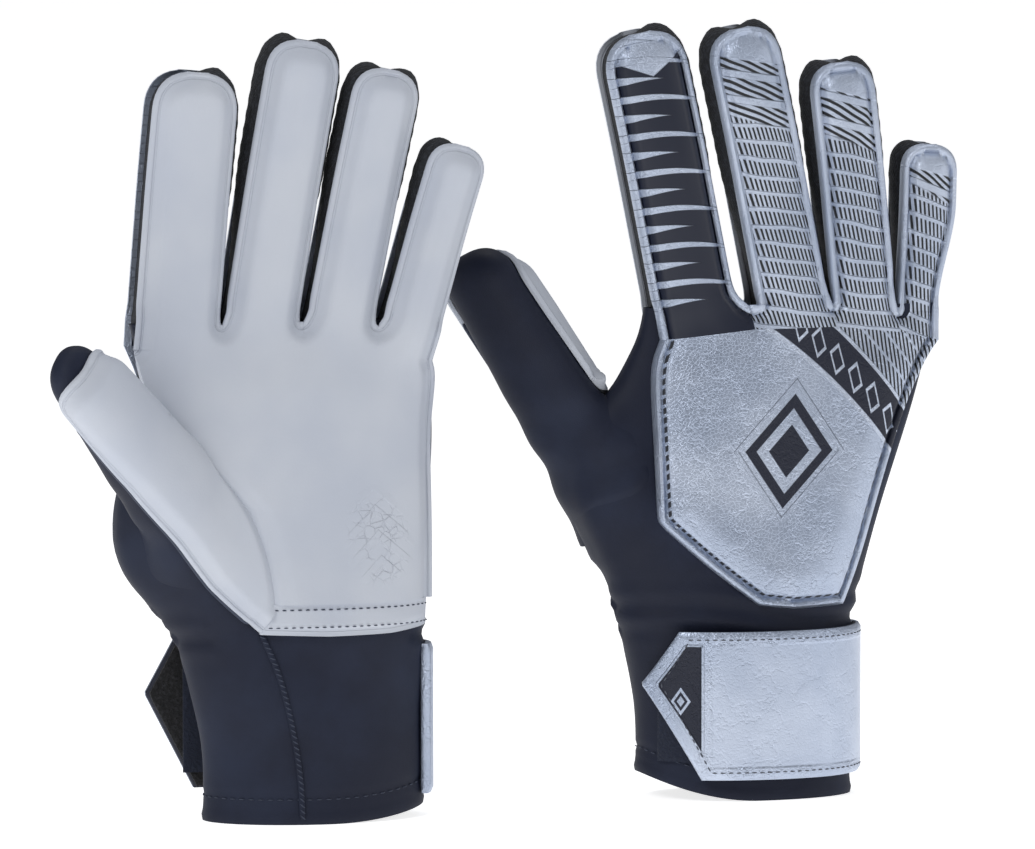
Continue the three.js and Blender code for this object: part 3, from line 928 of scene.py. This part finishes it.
def gusset(glove, order, section):
    """A knitted side wall of a finger; section is left, right or tip."""
    finger = glove["fingers"][order]
    seam = finger["bend"] * 0.6
    inset = 1.5
    if section == "tip":
        line = rounded(finger_rim(finger, inset, seam), 1)
        columns = 96
    else:
        sign = -1.0 if section == "left" else 1.0
        line = finger_point(finger, sign, np.linspace(-5, seam, 20), inset)
        columns = 30
    bm, u, v, side = sheet_of(columns, 10)
    flat = along_line(line, u)
    ahead = np.gradient(line, axis=0)
    ahead /= np.linalg.norm(ahead, axis=1)[:, None]
    reach = np.concatenate([[0], np.cumsum(np.linalg.norm(np.diff(line, axis=0), axis=1))])
    at = u * reach[-1]
    heading = np.stack([np.interp(at, reach, ahead[:, i]) for i in (0, 1)], 1)
    inward = np.stack([heading[:, 1], -heading[:, 0]], 1)
    if section == "right":
        inward = -inward
    s = (flat - finger["base"]) @ finger["along"]
    sideways = (flat - finger["base"]) @ finger["across"]
    inner = ((sideways > 0) & (order < 3)) | ((sideways < 0) & (order > 0))
    swell = mix(0.2, 3.6 * smooth((s + 2) / 48), inner * smooth(np.abs(sideways) / 6))
    swell = swell + 1.0 * smooth((s - finger["length"] + 9) / 8)
    pucker = 0.10 * np.sin(at * 1.3) - swell
    flat = flat + inward * (0.2 + pucker * np.sin(v * math.pi) ** 0.7 + side * 1.1)[:, None]
    wrap = 1.1 * smooth((s + TAB) / 6)
    front = plate_at(glove, order, np.zeros(len(u)), s) + FOAM + wrap - 0.3
    rear = front + FINGER_DEPTH - FOAM - BACKING - 2 * wrap + 0.6
    y = mix(front, rear, v) - curl(finger, s)
    place = np.stack([flat[:, 0], y, flat[:, 1]], 1)
    pattern = np.stack([v * 14, at, np.minimum(v, 1 - v) * 14], 1)
    name = f"{finger['name']}_gusset" if section == "tip" else f"{finger['name']}_gusset_{section}"
    piece = finish_piece(glove, name, bm, place, pattern, "black_knit")
    if section == "tip":
        stands_for(piece, glove, f"{finger['name']}_gusset")
    join_finger(piece, section == "tip")


# ------------------------------------------------------------------ the hand's panels
CREASE = [(-47.5, 131), (-39, 116.5), (-26, 104), (-18, 94), (-15, 82), (-14, 67), (-15, 57)]


def leaned(glove, flat):
    flat = np.array(flat, float)
    flat[:, 0] += lean_at(glove, flat[:, 1])
    return flat


def hand_panel(glove, name, back, bottom, left, right, slot):
    """The palm or the backhand, from its lower edge to the line where the fingers begin."""
    knots = glove["knots"]
    left = np.vstack([leaned(glove, left), knots[:1]])
    right = np.vstack([leaned(glove, right), knots[-1:]])
    bottom = leaned(glove, bottom)
    bm, u, v, side = sheet_of(104, 84)
    top = np.stack([np.interp(u * 4, np.arange(5), knots[:, i]) for i in (0, 1)], 1)
    low = along_line(bottom, u)
    west = along_line(rounded(left, 2), v)
    east = along_line(rounded(right, 2), v)
    corner = mix(bottom[0], bottom[-1], u[:, None])
    upper = mix(knots[0], knots[-1], u[:, None])
    rows = v[:, None]
    flat = mix(low, top, rows) + mix(west, east, u[:, None]) - mix(corner, upper, rows)
    order = np.minimum((u * 4).astype(int), 3)
    part = (u * 4 - order) * 2 - 1
    s = -ROOT - np.linalg.norm(flat - top, axis=1)
    y = base_depth(glove, flat, back, order, part, s)
    outline = glove["rim"]
    if back:
        outline = np.vstack([outline, rounded(right, 2)[::-1], bottom[::-1], rounded(left, 2)])
    else:
        outline = np.vstack([outline, rounded(right, 2)[::-1]])
    edge = edge_distance(flat, outline)
    if back:
        height = backing_height(edge)
    else:
        crease = leaned(glove, CREASE)[::-1]
        beyond = np.interp(flat[:, 1], crease[:, 1], crease[:, 0]) - flat[:, 0]
        height = -(foam_height(edge) - 3.2 * smooth((beyond + 1) / 6) - 0.8 * smooth((beyond + 6) / 6))
    y = y + height * (side < 0.5)
    place = np.stack([flat[:, 0], y, flat[:, 1]], 1)
    pattern = np.stack([flat[:, 0] - lean_at(glove, flat[:, 1]), flat[:, 1], edge], 1)
    piece = finish_piece(glove, name, bm, place, pattern, slot)
    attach(piece, hand_of(glove))
    return piece


def palm(glove):
    left = [(-21, 66.2), (-21, 80), (-24, 94), (-31, 105), (-40, 117), (-46, 130)]
    right = [(35.6, 66.2), (37.8, 91), (40.2, 115), (44.2, 132)]
    piece = hand_panel(glove, "palm_latex", False, [left[0], right[0]], left, right, "latex_palm")
    stands_for(piece, glove, "palm_latex")


def backhand(glove):
    bottom = [(-1.5, 59.6), (10, 58.2), (27.5, 58.6)]
    left = [(-1.5, 59.6), (-15.5, 69), (-29.2, 79.6), (-35.2, 84.5), (-36.2, 87), (-40.5, 112), (-43.6, 131)]
    right = [(27.5, 58.6), (30.6, 70), (33.5, 92), (38, 115), (43, 131)]
    piece = hand_panel(glove, "backhand_panel", True, bottom, left, right, "backhand_sheet")
    stands_for(piece, glove, "backhand_panel")


def patch_on_skin(glove, name, bottom, top, columns, rows, slot, height, low=LIFT):
    """A small panel laid on the palm side of the skin, between two flat lines."""
    bm, u, v, side = sheet_of(columns, rows)
    bottom = leaned(glove, bottom)
    top = leaned(glove, top)
    flat = mix(along_line(bottom, u), along_line(top, u), v[:, None])
    start = np.stack([flat[:, 0], np.full(len(u), -30.0), flat[:, 1]], 1)
    place = settle(glove, start, low, only_y=True)
    rim = np.vstack([top[:1], bottom, top[-1:]])
    edge = edge_distance(flat, rim)
    place[:, 1] -= height(edge) * (side < 0.5)
    pattern = np.stack([flat[:, 0], flat[:, 1], edge], 1)
    piece = finish_piece(glove, name, bm, place, pattern, slot)
    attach(piece, hand_of(glove))
    return piece


def on_palm(glove, flat, level):
    """Points of the palm side at flat places, level above the skin."""
    flat = leaned(glove, flat)
    start = np.stack([flat[:, 0], np.full(len(flat), -30.0), flat[:, 1]], 1)
    place = settle(glove, start, LIFT, only_y=True)
    place[:, 1] -= level
    return place


def palm_band(glove):
    bottom = [(-20.5, 57.2), (0, 56.4), (20, 56.6), (34.2, 58.0)]
    top = [(-21, 66.3), (35.6, 66.3)]
    height = lambda edge: 1.5 + 2.2 * smooth((edge - 1.2) / 2.4)
    piece = patch_on_skin(glove, "palm_wrist_band", bottom, top, 70, 12, "latex_foam", height)
    stands_for(piece, glove, "palm_wrist_band")
    for order, z in enumerate((59.4, 64.6)):
        across = np.linspace(-19, 33.6, 50)
        line = on_palm(glove, np.stack([across, np.full(50, z)], 1), 3.85)
        row = stitches(glove, f"palm_band_stitches_{order + 1}", line, "navy_thread", 2.3, 1.5, 0.24)
        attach(row, hand_of(glove))


# ------------------------------------------------------------------ sleeve and thumb
def folds(glove, p):
    """Soft folds of the empty sleeve, strongest just over the strap and at the wrist."""
    turn = np.arctan2(p[:, 1], p[:, 0])
    z = p[:, 2]
    wrist = np.exp(-(((z - 57) / 7) ** 2))
    ring = np.sin(z * 0.75 + 2.4 * np.sin(turn * 1.5 + 0.8)) * wrist * (p[:, 1] > -12)
    broad = np.sin(z * 0.10 + turn * 2.0 + glove["lean"]) * smooth((z - 15) / 30)
    return 0.75 * ring + 0.5 * broad


def hem_height(glove, angle):
    """How far the hem rises on the side where the cuff is lifted."""
    return glove["hem_rise"] * np.maximum(0, glove["raised"] * np.cos(angle)) ** 2


def sleeve(glove):
    bm, u, v, side = sheet_of(120, 92, wrap=True)
    angle = math.tau * u
    raise_to = hem_height(glove, angle)
    z = mix(raise_to, 149.0, v)
    up = np.clip((z - CUFF_TOP) / (KNUCKLE_Z - CUFF_TOP), 0, 1.1)
    power = 2 + 1.2 * smooth(up * 2)
    half_width = mix(CUFF_HALF_WIDTH, KNUCKLE_HALF_WIDTH, up)
    half_depth = mix(CUFF_HALF_DEPTH, KNUCKLE_HALF_DEPTH, up)
    half_width = half_width + bulge_at(glove, z) * (np.cos(angle) < 0)
    x = half_width * np.sign(np.cos(angle)) * np.abs(np.cos(angle)) ** (2 / power)
    y = half_depth * np.sign(np.sin(angle)) * np.abs(np.sin(angle)) ** (2 / power)
    p = np.stack([x + lean_at(glove, z), y, z], 1)
    _, slope = slope_of(tube_distance, glove, p)
    slope[:, 2] = 0
    slope /= np.linalg.norm(slope, axis=1)[:, None]
    extra = np.clip(-skin_distance(glove, p), 0, 3.4)
    above = z - raise_to
    hem = 0.5 * np.exp(-(((above - 1.5) / 1.6) ** 2)) - 0.5 * np.exp(-(((above - HEM_STITCHES) / 0.7) ** 2))
    push = extra + folds(glove, p) + hem - SKIN * side
    p = p + slope * push[:, None]
    p[:, 2] = np.where(z < 1, z, p[:, 2])
    pattern = np.stack([angle * 30, z, np.full(len(u), 9.0)], 1)
    piece = finish_piece(glove, "body_sleeve", bm, p, pattern, "navy_neoprene")
    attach(piece, hand_of(glove))
    stands_for(piece, glove, "body_sleeve")
    hem_line = hem_places(glove, HEM_STITCHES)
    row = stitches(glove, "hem_stitches", hem_line, "navy_thread", 2.9, 2.0, 0.22)
    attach(row, hand_of(glove))


def hem_places(glove, rise):
    angle = np.linspace(0, math.tau, 160)
    raise_to = hem_height(glove, angle)
    x = CUFF_HALF_WIDTH * np.cos(angle)
    y = CUFF_HALF_DEPTH * np.sin(angle)
    return np.stack([x, y, raise_to + rise], 1)


def from_thumb(glove, s, a, f):
    """Points given along, across and to the front of the thumb."""
    t = glove["thumb"]
    base = t["base"] + np.array(glove["thumb_shift"])
    s, a, f = (np.asarray(k, float)[:, None] for k in (s, a, f))
    return base + t["along"] * s + t["across"] * a + t["front"] * f


def join_thumb(glove, piece):
    side = glove["side"]
    middle = np.array(JOINTS[f"{side}_thumb_bend"]["pos_m"])
    along = glove["thumb"]["along"] * np.array([1, glove["flip"], 1])
    low = middle - along * 0.012
    high = middle + along * 0.010
    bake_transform(piece)


def thumb_back(glove):
    """The thumb's fabric tube, growing out of the hand."""
    bm, u, v, side = sheet_of(64, 70, wrap=True)
    angle = math.tau * u
    end = THUMB_LENGTH
    low = -8.0
    plain = 0.80
    rise = np.clip((v - plain) / (1 - plain), 0, 1)
    s = np.where(v < plain, mix(low, end - 11, v / plain), end - 11 + 11 * np.sin(rise * math.pi / 2))
    cap = np.clip((s - (end - 11)) / 11, 0, 1)
    shrink = np.maximum((1 - cap**2.4) ** (1 / 2.4), 0.0)
    taper = thumb_taper(glove, s)
    a = 13.2 * taper * shrink * np.sign(np.cos(angle)) * np.abs(np.cos(angle)) ** 0.8
    f = 8.7 * taper * shrink * np.sign(np.sin(angle)) * np.abs(np.sin(angle)) ** 0.8
    p = from_thumb(glove, s, a, f)
    out = from_thumb(glove, s, a * 1.02, f * 1.04) - from_thumb(glove, s, a, f)
    out /= np.maximum(np.linalg.norm(out, axis=1), 1e-4)[:, None]
    for _ in range(2):
        extra = np.clip(-skin_distance(glove, p), 0, 2.6)
        p = p + out * (extra * smooth((s + 6) / 12))[:, None]
    ripple = 0.45 * np.sin(s * 0.35 + 2 * np.cos(angle)) * smooth((60 - s) / 50)
    p = p + out * ((ripple - SKIN * side) * (shrink > 0.25))[:, None]
    p = p - glove["thumb"]["along"] * ((side * SKIN) * (shrink <= 0.9))[:, None]
    pattern = np.stack([angle * 12, s, np.full(len(u), 9.0)], 1)
    piece = finish_piece(glove, "thumb_back", bm, p, pattern, "navy_neoprene")
    stands_for(piece, glove, "thumb_back")
    join_thumb(glove, piece)


def thumb_lines(v):
    """The outer rim and the inner crease of the thumb's foam: along, turn in degrees, radius."""
    at = [0, 0.2, 0.4, 0.6, 0.8, 1.0]
    rim = [np.interp(v, at, k) for k in (
        [-18, 1, 24, 44, 66, 87], [136, 150, 158, 168, 184, 200], [26, 22, 17.5, 13, 12, 9])]
    crease = [np.interp(v, at, k) for k in (
        [-14, 8, 22, 36, 61, 86], [114, 72, 42, 10, 4, 4], [27, 22, 17, 15, 12.5, 9])]
    return rim, crease


def foam_narrowing(v):
    """How wide the thumb's foam is towards its rounded end, as a part of its width."""
    close = np.clip((v - 0.88) / 0.12, 0, 1)
    return np.maximum(np.sqrt(1 - close**2.2), 0.15)


def thumb_latex(glove):
    """The thumb's palm foam, from the rim beside the fabric to the crease on the palm."""
    bm, u, v, side = sheet_of(44, 80)
    rim, crease = thumb_lines(v)
    part = 0.5 + (u - 0.5) * foam_narrowing(v)
    s = mix(rim[0], crease[0], part)
    turn = np.radians(mix(rim[1], crease[1], part))
    radius = mix(rim[2], crease[2], part)
    level = np.where(s > 40, 0.35, 0.4)
    seat = settle(glove, from_thumb(glove, s, radius * np.cos(turn), radius * np.sin(turn)), level)
    knots = np.linspace(0, 1, 60)
    narrow = foam_narrowing(knots)
    lines = []
    for end in (0, 1):
        rim, crease = thumb_lines(knots)
        k = 0.5 + (end - 0.5) * narrow
        way = [mix(rim[i], crease[i], k) for i in range(3)]
        turn = np.radians(way[1])
        spots = from_thumb(glove, way[0], way[2] * np.cos(turn), way[2] * np.sin(turn))
        lines.append(settle(glove, spots, LIFT))
    free = np.vstack([lines[0], lines[1][36:][::-1]])
    edge = edge_distance(seat, free)
    crease_away = edge_distance(seat, lines[1][:38])
    height = foam_height(edge) - 2.4 * (1 - smooth(crease_away / 4)) * smooth((38 - s) / 10)
    _, out = slope_of(skin_distance, glove, seat)
    out /= np.maximum(np.linalg.norm(out, axis=1), 1e-3)[:, None]
    place = seat + out * (height * (side < 0.5))[:, None]
    pattern = np.stack([u * 26, s, edge], 1)
    piece = finish_piece(glove, "thumb_palm", bm, place, pattern, "latex_foam")
    stands_for(piece, glove, "thumb_palm")
    join_thumb(glove, piece)
    rim = lines[0][2:50]
    seam = bead(glove, "thumb_seam", rim + out_of(glove, rim) * 0.4, 0.75, "navy_thread")
    join_thumb(glove, seam)


def out_of(glove, p):
    _, out = slope_of(skin_distance, glove, p)
    return out / np.maximum(np.linalg.norm(out, axis=1), 1e-3)[:, None]


def side_seam(glove):
    """The overlocked seam from the palm's lower corner down to the hem."""
    flat = rounded([(-20, 57), (-15, 46), (-11, 30), (-8.5, 14), (-8, 1.5)], 3)
    line = on_palm(glove, along_line(flat, np.linspace(0, 1, 44)), 0.1)
    ridge = bead(glove, "side_seam", line, 0.9, "navy_neoprene", flat=0.8)
    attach(ridge, hand_of(glove))
    line = on_palm(glove, flat, 0.9)
    row = stitches(glove, "side_seam_stitches", line, "navy_thread", 1.7, 2.3, 0.24, slant=1.1)
    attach(row, hand_of(glove))


# ------------------------------------------------------------------ strap
def stand_off(angle):
    return 0.3 + 2.6 * smooth((angle - 0.2) / 0.9)


def strap_place(glove, angle, out):
    bend = np.minimum(angle, math.radians(glove["straight_from"]))
    x = (CUFF_HALF_WIDTH + out) * np.cos(bend) - (angle - bend) * CUFF_HALF_WIDTH
    return x, (CUFF_HALF_DEPTH + out) * np.sin(bend)


def point_at(glove, z, inset=0.0):
    """Where the strap's pointed end lies at a height."""
    tip = glove["strap_tip"] + inset
    waist = STRAP_Z + 0.64 * STRAP_HEIGHT
    heights = [STRAP_Z, waist, STRAP_Z + STRAP_HEIGHT]
    return np.interp(z, heights, [tip + 15, tip, tip + 9])


def band_piece(glove, name, angles, levels, low, high, slot, pointed, columns=96, rows=26, inset=0.0):
    """A strip of strap or tape round the cuff, with or without the pointed end."""
    start, end = (math.radians(k) for k in angles)
    near, far = levels
    dense = np.linspace(start, end, 400)
    dense_x, dense_y = strap_place(glove, dense, near(dense))
    reach = np.concatenate([[0], np.cumsum(np.hypot(np.diff(dense_x), np.diff(dense_y)))])
    bm, u, v, side = sheet_of(columns, rows)
    z = mix(low, high, v)
    stop = np.full(len(u), end)
    if pointed:
        stop = np.interp(-point_at(glove, z, inset), -dense_x, dense)
    angle = mix(start, stop, u)
    run = np.interp(angle, dense, reach)
    heights = np.linspace(low, high, 40)
    ends = np.full(40, reach[-1])
    if pointed:
        ends = np.interp(-point_at(glove, heights, inset), -dense_x, reach)
    outline = np.vstack([[(0, low)], [(ends[0], low)], np.stack([ends, heights], 1), [(0, high)], [(0, low)]])
    edge = edge_distance(np.stack([run, z], 1), outline)
    ease = np.sqrt(np.clip(edge / 1.0, 0, 1))
    inner = near(angle)
    outer = far(angle)
    middle = (inner + outer) / 2
    half = (outer - inner) / 2 * (0.55 + 0.45 * ease)
    x, y = strap_place(glove, angle, np.where(side < 0.5, middle + half, middle - half))
    place = np.stack([x, y, z], 1)
    pattern = np.stack([ends.max() - run, z, np.where(side < 0.5, edge, -3.0)], 1)
    return finish_piece(glove, name, bm, place, pattern, slot)


def strap(glove):
    near = stand_off
    far = lambda angle: stand_off(angle) + STRAP_THICKNESS
    top = STRAP_Z + STRAP_HEIGHT
    anchor = band_piece(
        glove, "strap_anchor", (-24, -1), (near, far), STRAP_Z, top, "silver_leather", False, 18)
    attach(anchor, hand_of(glove))
    stands_for(anchor, glove, "strap_anchor")
    level = lambda height: lambda angle: np.full(np.shape(angle), height)
    loop = band_piece(glove, "loop_pad", (86, 150), (level(0.3), level(1.3)), 12, 47, "loop_tape", False, 60)
    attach(loop, hand_of(glove))
    stands_for(loop, glove, "loop_pad")
    band = band_piece(glove, "strap_band", (1, 172), (near, far), STRAP_Z, top, "strap_silver", True, 150, 40)
    stands_for(band, glove, "strap_band")
    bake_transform(band)
    hook = band_piece(
        glove, "hook_pad", (100, 172), (level(1.5), level(2.7)), 7.8, 51.2, "hook_tape", True, 70, 26, 0.8)
    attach(hook, body(glove, "strap"))
    stands_for(hook, glove, "hook_pad")
    strap_stitches(glove)


def strap_stitches(glove):
    """The border of stitches on the strap's outer face."""
    inset = 2.3
    low = STRAP_Z + inset
    high = STRAP_Z + STRAP_HEIGHT - inset
    start = math.radians(14)
    dense = np.linspace(start, math.radians(172), 300)
    level = stand_off(dense) + STRAP_THICKNESS + 0.05
    dense_x, _ = strap_place(glove, dense, level)
    rises = np.linspace(low, high, 30)
    stops = np.interp(-(point_at(glove, rises) + inset * 1.15), -dense_x, dense)
    angle = np.concatenate([np.linspace(start, stops[0], 60), stops, np.linspace(stops[-1], start, 60)])
    z = np.concatenate([np.full(60, low), rises, np.full(60, high)])
    x, y = strap_place(glove, angle, stand_off(angle) + STRAP_THICKNESS + 0.05)
    line = np.stack([x, y, z], 1)
    row = stitches(glove, "strap_stitches", line, "grey_thread", 2.4, 1.7, 0.24)
    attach(row, body(glove, "strap"))


# ------------------------------------------------------------------ putting it together
BACK_SLOTS = ("striped_finger_back", "ridged_middle_back", "ridged_ring_back", "ridged_pinky_back")


def make_glove(glove):
    glove["slots"] = slots_of(glove)
    glove["knots"] = knots_of(glove)
    glove["rim"] = panel_rim(glove)
    sleeve(glove)
    thumb_back(glove)
    thumb_latex(glove)
    palm(glove)
    palm_band(glove)
    backhand(glove)
    side_seam(glove)
    for order in range(4):
        for upper in (False, True):
            finger_panel(glove, order, False, upper, "latex_foam")
            finger_panel(glove, order, True, upper, BACK_SLOTS[order])
        for section in ("left", "right", "tip"):
            gusset(glove, order, section)
    strap(glove)


for glove in GLOVES.values():
    make_glove(glove)


# ------------------------------------------------------------------ floor, light and camera
def stage_floor():
    bm = bmesh.new()
    bmesh.ops.create_grid(bm, x_segments=2, y_segments=2, size=30.0)
    mesh = bpy.data.meshes.new("floor")
    bm.to_mesh(mesh)
    bm.free()
    floor = bpy.data.objects.new("floor", mesh)
    bpy.context.scene.collection.objects.link(floor)
    paper = bpy.data.materials.new("white_floor")
    paper.use_nodes = True
    paper.node_tree.nodes["Principled BSDF"].inputs["Base Color"].default_value = tone(0.9, 0.9, 0.9)
    paper.node_tree.nodes["Principled BSDF"].inputs["Roughness"].default_value = 0.9
    paper.node_tree.nodes["Principled BSDF"].inputs["Emission Color"].default_value = tone(1, 1, 1)
    paper.node_tree.nodes["Principled BSDF"].inputs["Emission Strength"].default_value = 0.78
    floor.data.materials.append(paper)


def soft_light(name, place, size, power, colour=(1, 1, 1)):
    data = bpy.data.lights.new(name, "AREA")
    data.shape = "SQUARE"
    data.size = size
    data.energy = power
    data.color = colour
    light = bpy.data.objects.new(name, data)
    bpy.context.scene.collection.objects.link(light)
    light.location = place
    aim = Vector((0.0, 0.0, 0.12)) - light.location
    light.rotation_mode = "QUATERNION"
    light.rotation_quaternion = aim.to_track_quat("-Z", "Y")


def light_and_camera():
    world = bpy.data.worlds.new("studio")
    bpy.context.scene.world = world
    world.use_nodes = True
    world.node_tree.nodes["Background"].inputs["Color"].default_value = (0.93, 0.95, 1.0, 1)
    world.node_tree.nodes["Background"].inputs["Strength"].default_value = 0.26
    soft_light("key_softbox", (-1.0, -0.9, 1.2), 0.6, 8.5)
    soft_light("fill_softbox", (1.3, -0.6, 0.6), 0.7, 2.2)
    soft_light("top_softbox", (0.2, 0.3, 1.4), 0.9, 4.5)
    camera_data = bpy.data.cameras.new("camera")
    camera_data.sensor_width = 36.0
    camera_data.lens = 371.0
    camera = bpy.data.objects.new("camera", camera_data)
    bpy.context.scene.collection.objects.link(camera)
    a = math.radians(-15)
    e = math.radians(5)
    back = Vector((math.sin(a) * math.cos(e), -math.cos(a) * math.cos(e), math.sin(e)))
    camera.location = Vector((0.0043, 0.0049, 0.1164)) + back * 3.2
    camera.rotation_mode = "QUATERNION"
    camera.rotation_quaternion = (-back).to_track_quat("-Z", "Y")
    camera_data.clip_end = 30
    bpy.context.scene.camera = camera
    bpy.context.scene.view_settings.view_transform = "Standard"


stage_floor()
light_and_camera()
